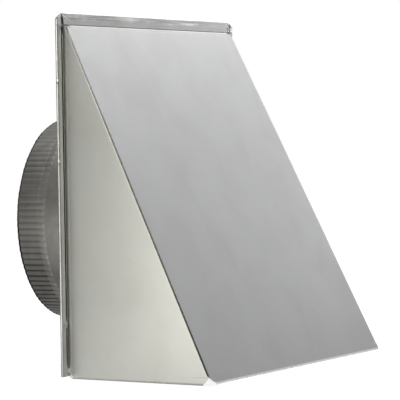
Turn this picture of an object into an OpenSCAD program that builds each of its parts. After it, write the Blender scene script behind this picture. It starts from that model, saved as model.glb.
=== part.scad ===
// Hooded wall vent cap with a crimped round duct collar, a gravity damper and a bird screen.
// The origin is on the duct's axis, in the plane of the wall. +Y goes into the wall, +Z is up.

/* [Wall plate] */
// Width of the wall plate
plate_w = 368; // [352:1:400]
// Thickness of the plate's sheet
plate_t = 0.8; // [0.6:0.1:1.2]
// Height of the plate's top fold above the hood's lower edge
cap_h = 346; // [330:1:380]
// Gap from the hood's lower edge up to the plate's lower edge
plate_lift = 2.5; // [1:0.5:6]
// Width of the lip that folds over the hood on each side
side_lip_w = 7; // [6:0.5:9]
// Height of the lip that folds over the hood at the top
top_lip_h = 11; // [10:0.5:14]
// Height of the part of the top lip that is pressed down tight above the hood's flange
top_crease_h = 5; // [4:0.5:6]
// Width of the corner cut off each upper corner of the plate
corner_cut_w = 11; // [9.5:0.5:12]
// Height of that corner cut
corner_cut_h = 6; // [4:0.5:8]

/* [Hood] */
// Thickness of the hood's sheet
hood_t = 0.8; // [0.6:0.1:1.2]
// Width of the hood where it meets the wall plate
hood_w = 346; // [330:1:350]
// Distance from the wall to the hood's lower front edge
hood_depth = 165; // [150:1:190]
// Distance that each side leans out between the wall and the front
side_flare = 19; // [12:0.5:24]
// Outer radius of the bend between the front and each side
corner_bend_r = 1.8; // [1.4:0.1:3]
// Outer radius of the bend between the front and the shelf under the top lip
shoulder_bend_r = 3; // [2:0.5:4]
// Height of the hem turned in along the hood's lower edges
hem_h = 10; // [8:0.5:14]
// Open gap inside that hem
hem_gap = 1.4; // [1.2:0.1:2]
// Height of the V notch at each lower front corner
notch_h = 8; // [6:0.5:9]
// Length of that notch along the side
notch_side_w = 11; // [6:0.5:14]
// Length of that notch along the front
notch_front_w = 14; // [10:0.5:18]
// Size of the corner cut off the side's lower rear corner
rear_cut = 3; // [2:0.5:5]
// Height of the relief cut at the hood's two upper corners
relief_h = 8; // [6:0.5:12]
// Width of that relief cut
relief_w = 7; // [5:0.5:9]

/* [Duct collar] */
// Outer radius of the collar's smooth band, for a 203 mm (8 inch) duct
collar_r = 101.6; // [95:0.1:103]
// Thickness of the collar's sheet
collar_t = 0.6; // [0.5:0.1:0.8]
// Distance that the collar stands out behind the wall plate
collar_len = 96; // [90:1:120]
// Height of the collar's axis above the hood's lower edge
axis_h = 145; // [136:1:155]
// Length of the crimped end, flutes and run-in together
crimp_len = 32; // [25:1:45]
// Length over which the flutes run in from the smooth band
crimp_run_in = 8; // [6:1:12]
// Number of flutes round the crimped end
flute_count = 100; // [60:1:120]
// Depth of a flute from crest to valley
flute_depth = 0.7; // [0.5:0.1:0.9]
// Distance that the flutes' crests lie inside the smooth band's outer face
crimp_drop = 1.1; // [0.8:0.1:2]
// Width of the flange turned out in front of the plate
collar_flange_w = 8; // [6:0.5:10]
// Outer radius of the bead's section behind the plate
bead_r = 2; // [1.6:0.1:2.6]

/* [Damper] */
// Width of the foam ring that the flap closes on
seal_w = 7; // [5:0.5:8]
// Thickness of the foam ring
seal_t = 4; // [3.5:0.5:5]
// Thickness of the flap's sheet
flap_t = 0.8; // [0.6:0.1:1]
// Width that the flap's face reaches past the foam ring on each side
flap_margin = 4; // [3:0.5:8]
// Depth of the stiffening flange round the flap's sides and foot
flap_flange = 7; // [5:0.5:9]
// Height of the hinge rod's axis above the foam ring
hinge_rise = 7; // [6:0.5:10]
// Diameter of the hinge rod
rod_d = 3.2; // [2.8:0.1:3.4]
// Length of each rolled knuckle
knuckle_len = 28; // [20:1:40]
// Distance from the end of a knuckle to the bracket's ear beside it
knuckle_inset = 8; // [3:1:16]
// Thickness of the hinge brackets' sheet
bracket_t = 1.2; // [1:0.1:1.5]
// Distance from the flap's side edge in to the inner face of the bracket's ear
ear_inset = 23.6; // [20:0.2:28]
// Width of the foot of each bracket
foot_w = 15; // [14:0.5:18]
// Height of the foot of each bracket above the rod's axis
foot_h = 24; // [22:0.5:28]
// Diameter of a rivet's shank
rivet_d = 3.2; // [2.8:0.1:4]
// Height of a rivet's domed head
rivet_head_h = 1.2; // [1:0.1:1.6]
// Inner radius of the bend at each end of the rod
rod_bend = 1.6; // [1.2:0.1:2.4]
// Length of the straight leg turned down at each end of the rod
rod_leg = 4; // [3:0.5:8]

/* [Bird screen] */
// Spacing of the screen's wires
mesh_pitch = 12.7; // [10:0.1:19]
// Diameter of the screen's wires
wire_d = 1; // [0.8:0.1:1.4]

/* [Fits] */
// Gap between folded layers of the plate and the hood's flanges
seam_play = 0.2; // [0.1:0.05:0.4]
// Gap from the edge of a flange to the fold that it sits in
edge_play = 0.8; // [0.5:0.1:1.5]
// Gap between the collar's bead and the plate, and round the bead in the plate's hole
bead_play = 0.4; // [0.3:0.05:0.6]
// Radial running gap of the knuckles on the hinge rod
rod_play = 0.06; // [0.02:0.01:0.1]
// Gap between the closed flap and the foam ring
closed_gap = 0.3; // [0.2:0.1:0.5]
// Gap between two pieces that only clear each other
side_gap = 0.5; // [0.3:0.1:1]

/* [Hidden] */
$fn = 64;

// Heights, measured from the duct's axis
base_z = -axis_h;
top_z = cap_h - axis_h;
plate_low_z = base_z + plate_lift;
top_lip_low_z = top_z - top_lip_h;
crease_z = top_z - top_crease_h;
shoulder_z = top_lip_low_z - side_gap;

// Layers of the folded edges, front to back
flange_back_y = -(plate_t + seam_play);
flange_front_y = flange_back_y - hood_t;
lip_back_y = flange_front_y - seam_play;
lip_front_y = lip_back_y - plate_t;
flange_x = plate_w / 2 - plate_t - edge_play;
flange_top_z = crease_z - side_gap;

// Slopes of the hood: the front leans from the vertical, the sides open towards the front
front_angle = atan(hood_depth / cap_h);
side_angle = atan(side_flare / hood_depth);
front_normal = [0, -cos(front_angle), sin(front_angle)];
function side_normal(s) = [s * cos(side_angle), sin(side_angle), 0];

// Where the front face and a side face lie, moved inwards by a given amount
function front_y(z, inset = 0) = -hood_depth * (top_z - z) / cap_h + inset / cos(front_angle);
function side_x(y, inset = 0) = hood_w / 2 - side_flare * y / hood_depth - inset / cos(side_angle);

// The open hem is a sheet, a gap and a sheet
hem_thick = 2 * hood_t + hem_gap;
hem_top_z = base_z + hem_h;
reach = 2 * (hood_w + hood_depth + cap_h);

// The collar's axial places, with the wall at 0 and the duct's end at collar_len
collar_flange_back = -plate_t;
collar_flange_r = collar_r + collar_flange_w;
bead_centre = bead_play + bead_r;
plate_hole_r = collar_r + bead_r + bead_play;
smooth_end = collar_len - crimp_len;
crest_r = collar_r - crimp_drop;
valley_r = crest_r - flute_depth;

// The damper: the foam ring sits on the collar's flange, with the flap in front of it
collar_flange_front = collar_flange_back - collar_t;
seal_front_y = collar_flange_front - seal_t;
seal_r = collar_flange_r;
flap_back_y = seal_front_y - closed_gap;
flap_front_y = flap_back_y - flap_t;
knuckle_bore_r = rod_d / 2 + rod_play;
knuckle_r = knuckle_bore_r + flap_t;
hinge_y = flap_front_y + knuckle_r;
hinge_z = seal_r + hinge_rise;
flap_half_w = seal_r + flap_margin;
flap_low_z = -(seal_r + flap_margin);
flap_top_z = hinge_z - knuckle_r - side_gap;
ear_x = flap_half_w - ear_inset;
ear_out_x = ear_x + bracket_t;
ear_drop = 6;
ear_margin = 4.5;
foot_low_z = hinge_z + rod_d / 2 + side_gap;
knuckle_x = ear_x - knuckle_inset - knuckle_len / 2;
ear_front_y = hinge_y - ear_margin;
rivet_z = [hinge_z + foot_h * 0.4, hinge_z + foot_h * 0.8];
rivet_x = ear_out_x + (foot_w - bracket_t) / 2;
rod_bend_x = ear_out_x + 2 * side_gap;
rod_turn = rod_bend + rod_d / 2;

// The flap's shoulders stay clear of the ears and of the rod's turned ends as it swings
ear_reach = norm([ear_drop, ear_margin]);
rod_reach = norm([rod_turn + rod_leg, rod_d / 2]);
flap_shoulder_z = hinge_z - max(ear_reach, rod_reach) - side_gap;

// The screen lies on the hem: one layer of wires on its edge, the other crossing on top
wire_low_z = hem_top_z + seam_play + wire_d / 2;
weld_play = 0.02;
wire_high_z = wire_low_z + wire_d + weld_play;
screen_rear_y = flange_back_y - side_gap - wire_d / 2;

// Cuts away all that lies beyond a plane with the given normal, at distance d from the point c
module shave(n, c, d) {
    translate(c + n * d)
        rotate([0, acos(n.z), atan2(n.y, n.x)])
            translate([-reach / 2, -reach / 2, 0]) cube([reach, reach, reach / 8]);
}

// Two flats that stand for a bend of radius r between faces with normals a and b
module bend_flats(a, b, c, r) {
    for (w = [1 / 3, 2 / 3]) {
        n = a * (1 - w) + b * w;
        shave(n / norm(n), c, r);
    }
}

// The wedge that the hood's sheet encloses, moved inwards by inset, from low to high
module wedge(inset, low, high, rear) {
    far = -hood_depth - 20;
    intersection() {
        translate([0, 0, low]) linear_extrude(high - low)
            polygon([[-side_x(rear, inset), rear], [side_x(rear, inset), rear],
                     [side_x(far, inset), far], [-side_x(far, inset), far]]);
        rotate([90, 0, 90]) linear_extrude(reach, center = true)
            polygon([[front_y(low - 5, inset), low - 5], [front_y(high + 5, inset), high + 5],
                     [20, high + 5], [20, low - 5]]);
    }
}

// The same wedge with its front corners bent at a radius
module bent_wedge(inset, low, high, rear) {
    r = max(corner_bend_r - inset, 0.3);
    axis_y = front_y(base_z, inset + r);
    difference() {
        wedge(inset, low, high, rear);
        for (s = [-1, 1])
            bend_flats(front_normal, side_normal(s),
                       [s * side_x(axis_y, inset + r), axis_y, base_z], r);
    }
}

// The hood's outside, with the hem's fold rounded underneath and the shoulder rounded at the top
module hood_outside() {
    fold_r = hem_thick / 2;
    fold_z = base_z + fold_r;
    fold_y = front_y(fold_z, fold_r);
    crown_z = shoulder_z - shoulder_bend_r;
    difference() {
        bent_wedge(0, base_z, shoulder_z, flange_back_y);
        bend_flats(front_normal, [0, 0, -1], [0, fold_y, fold_z], fold_r);
        bend_flats(front_normal, [0, 0, 1],
                   [0, front_y(crown_z, shoulder_bend_r), crown_z], shoulder_bend_r);
        for (s = [-1, 1])
            bend_flats(side_normal(s), [0, 0, -1], [s * side_x(fold_y, fold_r), fold_y, fold_z],
                       fold_r);
    }
}

// The hood's sheet and the inner leg of its open hem
module hood_sheet() {
    difference() {
        union() {
            difference() {
                hood_outside();
                bent_wedge(hood_t, base_z + hood_t, shoulder_z - hood_t, 10);
            }
            wedge(hood_t + hem_gap, base_z + hood_t / 2, hem_top_z, flange_back_y);
        }
        wedge(hem_thick, base_z - 10, hem_top_z + 1, 10);
    }
}

// Flanges that slide into the plate's channels and under its top lip
module hood_flanges() {
    root_x = side_x(flange_back_y, hood_t);
    for (s = [-1, 1])
        translate([s > 0 ? root_x : -flange_x, flange_front_y, plate_low_z])
            cube([flange_x - root_x, hood_t, shoulder_z - relief_h - plate_low_z]);
    translate([-hood_w / 2, flange_front_y, shoulder_z - hood_t])
        cube([hood_w, hood_t, flange_top_z - shoulder_z + hood_t]);
}

// V notch at a lower front corner, open through the side, the front and both hems
module corner_notch() {
    edge_y = front_y(base_z);
    tip_y = front_y(base_z + notch_h);
    edge_x = side_x(edge_y);
    depth = hem_thick + 1;
    translate([edge_x - depth, 0, 0]) rotate([90, 0, 90]) linear_extrude(depth + 10)
        polygon([[edge_y - 5, base_z - 1], [edge_y + notch_side_w, base_z - 1],
                 [edge_y + notch_side_w, base_z], [tip_y, base_z + notch_h],
                 [tip_y - 5, base_z + notch_h]]);
    translate([0, tip_y + depth, 0]) rotate([90, 0, 0]) linear_extrude(depth + 20)
        polygon([[edge_x - notch_front_w, base_z - 1], [edge_x + 5, base_z - 1],
                 [edge_x + 5, base_z + notch_h], [side_x(tip_y), base_z + notch_h],
                 [edge_x - notch_front_w, base_z]]);
}

// Corner cut off the lower rear corner of a side
module rear_corner_cut() {
    translate([hood_w / 2 - 10, flange_back_y, base_z]) rotate([90, 0, 90]) linear_extrude(30)
        polygon([[-rear_cut, -1], [-rear_cut, 0], [0, rear_cut], [1, rear_cut], [1, -1]]);
}

// Relief at an upper corner, where the side flange, the top flange and the front meet
module upper_relief() {
    translate([hood_w / 2 - relief_w, flange_front_y - 0.01, shoulder_z - relief_h])
        cube([relief_w + 20, 20, relief_h + top_lip_h + 10]);
    translate([hood_w / 2 - relief_w, front_y(shoulder_z) - 5, shoulder_z - hood_t - 0.01])
        cube([relief_w + 20, 30, 10]);
}

module hood() {
    color([0.74, 0.75, 0.76]) difference() {
        union() {
            hood_sheet();
            hood_flanges();
        }
        for (s = [0, 1]) mirror([s, 0, 0]) {
            corner_notch();
            rear_corner_cut();
            upper_relief();
        }
    }
}

// Section of the plate with a channel folded along each side
module plate_section() {
    fold_r = -lip_front_y / 2;
    straight = plate_w / 2 - fold_r;
    translate([-straight, -plate_t]) square([2 * straight, plate_t]);
    for (s = [0, 1]) mirror([s, 0]) {
        translate([straight, -fold_r]) intersection() {
            difference() {
                circle(fold_r);
                circle(fold_r - plate_t);
            }
            translate([0, -fold_r]) square([fold_r, 2 * fold_r]);
        }
        translate([plate_w / 2 - side_lip_w, lip_front_y]) square([side_lip_w - fold_r, plate_t]);
    }
}

// Section of the top hem: tight at the fold, then out and down over the hood's flange
module top_hem_section() {
    fold_r = plate_t + seam_play / 2;
    fold_z = top_z - fold_r;
    translate([-plate_t, fold_z - 2 * top_lip_h]) square([plate_t, 2 * top_lip_h]);
    translate([-fold_r, fold_z]) intersection() {
        difference() {
            circle(fold_r);
            circle(fold_r - plate_t);
        }
        translate([-fold_r, 0]) square([2 * fold_r, fold_r]);
    }
    polygon([[-2 * fold_r, fold_z], [-2 * fold_r + plate_t, fold_z], [lip_back_y, crease_z],
             [lip_back_y, top_lip_low_z], [lip_front_y, top_lip_low_z], [lip_front_y, crease_z]]);
}

// Mitre at the ends of the top lip and the cut across each upper corner
module plate_corner_cuts() {
    corner_x = plate_w / 2 - corner_cut_w;
    rotate([90, 0, 0]) linear_extrude(30, center = true)
        polygon([[corner_x, top_z], [corner_x, top_z + 5], [plate_w / 2 + 5, top_z + 5],
                 [plate_w / 2 + 5, top_z - corner_cut_h], [plate_w / 2, top_z - corner_cut_h]]);
    translate([0, -plate_t - seam_play / 2, 0]) rotate([90, 0, 0]) linear_extrude(30)
        polygon([[corner_x, top_z + 1], [corner_x, top_z], [corner_x - top_lip_h, top_lip_low_z],
                 [corner_x - top_lip_h, top_lip_low_z - 1],
                 [plate_w / 2 - side_lip_w - side_gap, top_lip_low_z - 1],
                 [plate_w / 2 - side_lip_w - side_gap, top_z + 1]]);
}

module wall_plate() {
    corner_x = plate_w / 2 - corner_cut_w;
    color([0.72, 0.73, 0.74]) difference() {
        union() {
            translate([0, 0, plate_low_z])
                linear_extrude(top_z - plate_t - seam_play / 2 - plate_low_z) plate_section();
            rotate([90, 0, 90]) linear_extrude(2 * corner_x, center = true) top_hem_section();
        }
        rotate([90, 0, 0]) cylinder(h = 10, r = plate_hole_r, center = true, $fn = 128);
        for (s = [-1, 1], z = rivet_z) translate([s * rivet_x, 0, z]) rotate([90, 0, 0])
            cylinder(h = 2 * plate_t + 0.5, d = rivet_d, center = true);
        for (s = [0, 1]) mirror([s, 0, 0]) plate_corner_cuts();
    }
}

// Half section of the collar's flange, bead and smooth band, radius across and depth up
module collar_band_section() {
    translate([collar_r - collar_t, collar_flange_front])
        square([collar_flange_w + collar_t, collar_t]);
    difference() {
        translate([collar_r - collar_t, collar_flange_front])
            square([collar_t, smooth_end - collar_flange_front]);
        translate([collar_r, bead_centre]) circle(bead_r - collar_t, $fn = 8);
    }
    translate([collar_r, bead_centre]) intersection() {
        difference() {
            circle(bead_r, $fn = 8);
            circle(bead_r - collar_t, $fn = 8);
        }
        translate([0, -bead_r]) square([bead_r, 2 * bead_r]);
    }
}

// Outline of the crimped end: flat-topped flutes between a crest and a valley radius
module flute_outline(inset) {
    pitch = 360 / flute_count;
    polygon([for (i = [0:flute_count - 1], k = [0:3])
        let (a = pitch * (i + [0.05, 0.42, 0.58, 0.89][k]),
             r = (k < 2 ? crest_r : valley_r) - inset)
        [r * cos(a), r * sin(a)]]);
}

// Solid of the crimped end, moved inwards by inset, reaching past the duct's end by extra.
// The cone that the flutes run in from dips just under their valleys.
module crimp_form(inset, extra) {
    translate([0, 0, smooth_end]) {
        cylinder(h = crimp_run_in, r1 = collar_r - inset, r2 = valley_r - inset - 0.3, $fn = 128);
        linear_extrude(collar_len - smooth_end + extra) flute_outline(inset);
    }
}

module duct_collar() {
    color([0.45, 0.44, 0.42]) rotate([-90, 0, 0]) union() {
        rotate_extrude($fn = 128) collar_band_section();
        difference() {
            crimp_form(0, 0);
            crimp_form(collar_t, 1);
        }
    }
}

module flap_seal() {
    color([0.16, 0.16, 0.17]) rotate([90, 0, 0]) translate([0, 0, -collar_flange_front])
        difference() {
            cylinder(h = seal_t, r = seal_r, $fn = 96);
            translate([0, 0, -1]) cylinder(h = seal_t + 2, r = seal_r - seal_w, $fn = 96);
        }
}

// Face of the flap as seen from the front, cut back at its upper corners for the brackets
module flap_face() {
    half_top = ear_x - side_gap;
    polygon([[-flap_half_w, flap_low_z], [flap_half_w, flap_low_z],
             [flap_half_w, flap_shoulder_z], [half_top, flap_shoulder_z], [half_top, flap_top_z],
             [-half_top, flap_top_z], [-half_top, flap_shoulder_z],
             [-flap_half_w, flap_shoulder_z]]);
}

// A knuckle rolled back from the flap's top edge round the hinge rod
module knuckle(x) {
    translate([x - knuckle_len / 2, 0, 0]) difference() {
        union() {
            translate([0, flap_front_y, flap_top_z - 1])
                cube([knuckle_len, flap_t, hinge_z - flap_top_z + 1]);
            translate([0, hinge_y, hinge_z]) rotate([0, 90, 0])
                cylinder(h = knuckle_len, r = knuckle_r);
        }
        translate([-1, hinge_y, hinge_z]) rotate([0, 90, 0])
            cylinder(h = knuckle_len + 2, r = knuckle_bore_r);
    }
}

module damper_flap() {
    color([0.70, 0.71, 0.72]) {
        translate([0, flap_back_y, 0]) rotate([90, 0, 0]) linear_extrude(flap_t) flap_face();
        for (s = [0, 1]) mirror([s, 0, 0])
            translate([flap_half_w - flap_t, flap_front_y - flap_flange, flap_low_z])
                cube([flap_t, flap_flange + flap_t / 2, flap_shoulder_z - flap_low_z]);
        translate([-flap_half_w, flap_front_y - flap_flange, flap_low_z])
            cube([2 * flap_half_w, flap_flange + flap_t / 2, flap_t]);
        for (x = [-knuckle_x, knuckle_x]) knuckle(x);
    }
}

// The rod's straight middle and its two ends turned down outside the ears
module hinge_rod() {
    color([0.62, 0.63, 0.65]) translate([0, hinge_y, hinge_z]) {
        rotate([0, 90, 0]) cylinder(h = 2 * rod_bend_x, d = rod_d, center = true);
        for (s = [0, 1]) mirror([s, 0, 0]) translate([rod_bend_x, 0, -rod_turn]) {
            rotate([90, 0, 0]) rotate_extrude(angle = 90) translate([rod_turn, 0]) circle(d = rod_d);
            translate([rod_turn, 0, -rod_leg]) cylinder(h = rod_leg, d = rod_d);
        }
    }
}

// Bracket on the +X side: a foot riveted to the plate and an ear that holds the rod
module hinge_bracket() {
    foot_back = -plate_t;
    foot_front = foot_back - bracket_t;
    foot_top_z = hinge_z + foot_h;
    difference() {
        union() {
            translate([ear_x, foot_front, foot_low_z])
                cube([foot_w, bracket_t, foot_top_z - foot_low_z]);
            translate([ear_x, ear_front_y, hinge_z - ear_drop])
                cube([bracket_t, foot_back - ear_front_y, ear_drop + foot_h]);
        }
        translate([ear_x - 1, hinge_y, hinge_z]) rotate([0, 90, 0])
            cylinder(h = bracket_t + 2, r = rod_d / 2 + rod_play);
        translate([ear_x - 1, 0, 0]) rotate([90, 0, 90]) linear_extrude(bracket_t + 2)
            polygon([[ear_front_y - 1, hinge_z + ear_margin], [ear_front_y, hinge_z + ear_margin],
                     [foot_front, foot_top_z - 2], [foot_front, foot_top_z + 5],
                     [ear_front_y - 1, foot_top_z + 5]]);
        for (z = rivet_z)
            translate([rivet_x, 0, z]) rotate([90, 0, 0]) cylinder(h = 20, d = rivet_d);
    }
}

module hinge_bracket_right() {
    color([0.68, 0.69, 0.70]) hinge_bracket();
}

module hinge_bracket_left() {
    color([0.68, 0.69, 0.70]) mirror([1, 0, 0]) hinge_bracket();
}

module bracket_rivets() {
    head_y = -(plate_t + bracket_t);
    color([0.78, 0.79, 0.80]) for (s = [-1, 1], z = rivet_z)
        translate([s * rivet_x, 0, z]) rotate([90, 0, 0]) {
            cylinder(h = -head_y + rivet_head_h / 2, d = rivet_d - 0.02);
            translate([0, 0, -head_y]) intersection() {
                cylinder(h = rivet_head_h, d = 2 * rivet_d);
                translate([0, 0, rivet_head_h - 2 * rivet_d]) sphere(2 * rivet_d);
            }
        }
}

// A length cut down to a whole tenth of a millimetre
function whole_tenths(length) = floor(length * 10) / 10;

// Straight wires both ways, cut to reach just short of the hood's walls above its hem
module bird_screen() {
    front_reach = whole_tenths(-front_y(wire_high_z, hood_t) - seam_play);
    rear_reach = whole_tenths(-screen_rear_y);
    rows = floor((front_reach - rear_reach) / mesh_pitch);
    columns = floor(side_x(screen_rear_y, hood_t + side_gap) / mesh_pitch);
    color([0.60, 0.61, 0.63]) {
        for (i = [0:rows]) {
            y = screen_rear_y - i * mesh_pitch;
            x = whole_tenths(side_x(y, hood_t) - seam_play);
            translate([-x, y, wire_low_z]) rotate([0, 90, 0])
                cylinder(h = 2 * x, d = wire_d, $fn = 16);
        }
        for (i = [-columns:columns])
            translate([i * mesh_pitch, -rear_reach, wire_high_z]) rotate([90, 0, 0])
                cylinder(h = front_reach - rear_reach, d = wire_d, $fn = 16);
    }
}

wall_plate();
hood();
duct_collar();
flap_seal();
damper_flap();
hinge_rod();
hinge_bracket_left();
hinge_bracket_right();
bracket_rivets();
bird_screen();
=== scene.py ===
import math

import bmesh
import bpy
from mathutils import Matrix, Vector


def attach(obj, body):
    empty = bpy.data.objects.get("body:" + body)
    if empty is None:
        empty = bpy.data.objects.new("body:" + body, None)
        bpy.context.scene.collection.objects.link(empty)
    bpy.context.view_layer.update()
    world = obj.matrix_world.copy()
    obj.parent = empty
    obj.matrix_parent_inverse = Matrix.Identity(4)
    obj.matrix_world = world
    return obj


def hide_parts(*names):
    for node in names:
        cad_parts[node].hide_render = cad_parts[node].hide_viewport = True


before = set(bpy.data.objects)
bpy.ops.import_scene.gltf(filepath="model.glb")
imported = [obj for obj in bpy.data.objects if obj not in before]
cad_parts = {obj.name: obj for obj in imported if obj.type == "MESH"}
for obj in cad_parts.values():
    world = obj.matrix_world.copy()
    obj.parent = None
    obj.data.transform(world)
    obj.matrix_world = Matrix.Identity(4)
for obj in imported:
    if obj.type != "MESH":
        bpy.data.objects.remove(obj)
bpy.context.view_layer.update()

# %% [markdown]
# The cap is folded from thin sheet. These are the sizes, in millimetres, that the folded
# pieces below share. They repeat the solid model's own values, so each skin that is made here
# lies where its solid lies. The origin is on the duct's axis in the wall plane, +Y goes into
# the wall and +Z is up.

# %% Shared sizes
MM = 0.001
PLATE_W, PLATE_T, CAP_H, PLATE_LIFT = 368, 0.8, 346, 2.5
LIP_W, TOP_LIP_H, CREASE_H, CUT_W, CUT_H = 7, 11, 5, 11, 6
HOOD_T, HOOD_W, DEPTH, FLARE = 0.8, 346, 165, 19
BEND_R, SHOULDER_R, HEM_H, HEM_GAP = 1.8, 3, 10, 1.4
NOTCH_H, NOTCH_SIDE, NOTCH_FRONT, REAR_CUT, RELIEF_H, RELIEF_W = 8, 11, 14, 3, 8, 7
COLLAR_R, COLLAR_T, COLLAR_LEN, AXIS_H = 101.6, 0.6, 96, 145
CRIMP_LEN, FLUTES, FLUTE_DEPTH, CRIMP_DROP, BEAD_R, FLANGE_W = 32, 100, 0.7, 1.1, 2, 8
BASE_Z, TOP_Z = -AXIS_H, CAP_H - AXIS_H
PLATE_LOW = BASE_Z + PLATE_LIFT
LIP_LOW = TOP_Z - TOP_LIP_H
SHOULDER_Z = LIP_LOW - 0.5
FLANGE_Y, LIP_Y = -1.8, -2.8
FRONT_TILT = math.atan(DEPTH / CAP_H)
SIDE_TILT = math.atan(FLARE / DEPTH)


def front_y(z, inset=0.0):
    """Where the slanted front lies at a height, moved into the sheet by inset."""
    return -DEPTH * (TOP_Z - z) / CAP_H + inset / math.cos(FRONT_TILT)


def side_x(y, inset=0.0):
    """Where the right side lies at a depth, moved into the sheet by inset."""
    return HOOD_W / 2 - FLARE * y / DEPTH - inset / math.cos(SIDE_TILT)


print("front leans", round(math.degrees(FRONT_TILT), 1), "degrees, sides open",
      round(math.degrees(SIDE_TILT), 1))

# %% [markdown]
# Sheet metal is modelled as a surface first and thickened afterwards, as a sheet-metal worker
# thinks of it. A surface here is one or more grids of points. Points of two grids that lie at
# the same place are joined, so the grids make one sheet. Solidify then gives the sheet its
# thickness towards the inside of the bends, a very small bevel breaks the cut edges so that
# they catch light, and weighted normals keep the flat panels flat next to the bends.

# %% Sheet builder
def sheet_piece(name, grids, thickness, body="housing", edge=0.12, cutters=()):
    """A folded sheet from grids of points in millimetres. None marks a missing point."""
    bm = bmesh.new()
    # The bend layer marks the bends, folds and flutes; the finishes read it for painted highlights,
    # painted shade and roughness.
    bend_marks = bm.verts.layers.float.new("bend")
    for rows in grids:
        made = [[None if p is None else bm.verts.new(Vector(p[:3]) * MM) for p in row]
                for row in rows]
        for row, points in zip(made, rows):
            for v, p in zip(row, points):
                if v is not None and len(p) > 3:
                    v[bend_marks] = p[3]
        for low, high in zip(made, made[1:]):
            for a, b, c, d in zip(low, low[1:], high[1:], high):
                corners = [v for v in (a, b, c, d) if v is not None]
                if len(corners) == 4:
                    bm.faces.new(corners)
    bmesh.ops.remove_doubles(bm, verts=bm.verts, dist=0.00001)
    bmesh.ops.dissolve_degenerate(bm, edges=bm.edges, dist=0.000005)
    return finish_piece(name, bm, body, thickness, edge, cutters)


def finish_piece(name, bm, body, thickness=0.0, edge=0.12, cutters=()):
    """Turns a bmesh into a smooth-shaded piece that rides on a body."""
    mesh = bpy.data.meshes.new(name)
    bm.to_mesh(mesh)
    bm.free()
    for face in mesh.polygons:
        face.use_smooth = True
    piece = bpy.data.objects.new(name, mesh)
    bpy.context.scene.collection.objects.link(piece)
    if thickness:
        solid = piece.modifiers.new("thickness", "SOLIDIFY")
        solid.thickness, solid.offset, solid.use_even_offset = thickness * MM, -1, True
    for cutter in cutters:
        cut = piece.modifiers.new("cut", "BOOLEAN")
        cut.object, cut.operation, cut.solver = cutter, "DIFFERENCE", "EXACT"
    if cutters:
        depsgraph = bpy.context.evaluated_depsgraph_get()
        piece.data = bpy.data.meshes.new_from_object(piece.evaluated_get(depsgraph))
        piece.modifiers.clear()
        for cutter in cutters:
            bpy.data.objects.remove(cutter)
    soften(piece, edge)
    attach(piece, body)
    print(name, "has", len(mesh.polygons), "faces before its modifiers")
    return piece


def soften(piece, edge):
    """Breaks the sharp edges of a piece by a few hundredths and keeps its flats flat."""
    if edge:
        bevel = piece.modifiers.new("broken edges", "BEVEL")
        bevel.width, bevel.segments, bevel.limit_method = edge * MM, 2, "ANGLE"
        bevel.angle_limit, bevel.harden_normals = math.radians(50), False
    shade = piece.modifiers.new("flat panels", "WEIGHTED_NORMAL")
    shade.mode, shade.weight, shade.keep_sharp = "FACE_AREA", 50, False


def steps(low, high, count):
    """Evenly spaced values from low to high, both ends included."""
    return [low + (high - low) * i / count for i in range(count + 1)]

# %% [markdown]
# No real panel is dead flat. A sheet that has been sheared, folded and handled bows by a few
# tenths of a millimetre between its bends, and a metal finish shows that at once, because it
# bends the reflections. This function gives that bow. It fades out at the panel's edges, where
# the bends hold the sheet straight.

# %% Bow of a panel
def bow(u, v, size):
    """A slow unevenness in millimetres at the place u, v of a panel, each from 0 to 1."""
    hold = min(1, 16 * u * (1 - u)) * min(1, 10 * v * (1 - v))
    waves = (0.55 * math.sin(5.1 * u + 2.3 * v + 0.4) + 0.35 * math.sin(9.7 * v - 3.9 * u + 1.1)
             + 0.22 * math.sin(14.3 * u + 8.9 * v + 2.0))
    return size * hold * waves

# %% [markdown]
# The hood is one blank with two slanted bends, so its outline at any height runs from the
# edge of one rear flange, round the root bend, along the side, round the corner bend, across
# the front and back the same way. Each row of the grid is that outline at one height. Near
# the bottom, the row shrinks back from the corner, which opens the V notch, and then goes
# round the open hem and up its inner leg.

# %% Hood outline
FRONT_T = [0.0, 0.12, 0.24, 0.36, 0.48, 0.6, 0.7, 0.8, 0.88, 0.94, 166 / 172.1, 0.985, 1.0]
SIDE_T = [0.0, 0.015, 0.06, 0.16, 0.3, 0.45, 0.6, 0.75, 0.88, 0.95, 1.0]
CORNER_STEPS = 8
ROOT_R = 0.9
REAR_Y = FLANGE_Y - ROOT_R


def front_row(z, inset):
    """Half of the front at a height, from the middle to the corner bend."""
    r = max(BEND_R - inset, 0.3)
    reach = side_x(front_y(z, inset + r), inset + r)
    v = (z - BASE_Z) / (SHOULDER_Z - BASE_Z)
    row = []
    for t in FRONT_T:
        x = reach * t
        out = bow(0.5 + 0.5 * t, v, 0.1) if inset == 0 else 0
        row.append((x, front_y(z, inset) - out * math.cos(FRONT_TILT),
                    z + out * math.sin(FRONT_TILT), 0.0))
    return row


def corner_row(z, inset):
    """The corner bend at a height, without its two ends."""
    r = max(BEND_R - inset, 0.3)
    mid_y = front_y(z, inset + r)
    mid_x = side_x(mid_y, inset + r)
    row = []
    for a in steps(math.pi / 2, -SIDE_TILT, CORNER_STEPS)[1:-1]:
        row.append((mid_x + r * math.cos(a), mid_y - r * math.sin(a) / math.cos(FRONT_TILT), z,
                    1.0))
    return row


def side_row(z, inset):
    """The side at a height, from the corner bend back to the root bend."""
    r = max(BEND_R - inset, 0.3)
    start, end = front_y(z, inset + r) + r * math.sin(SIDE_TILT), REAR_Y
    v = (z - BASE_Z) / (SHOULDER_Z - BASE_Z)
    row = []
    for t in SIDE_T:
        y = start + (end - start) * t
        out = bow(t, v, 0.08) * min(1, (end - start) / 40) if inset == 0 else 0
        row.append((side_x(y, inset) + out, y, z, 0.0))
    return row


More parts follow.
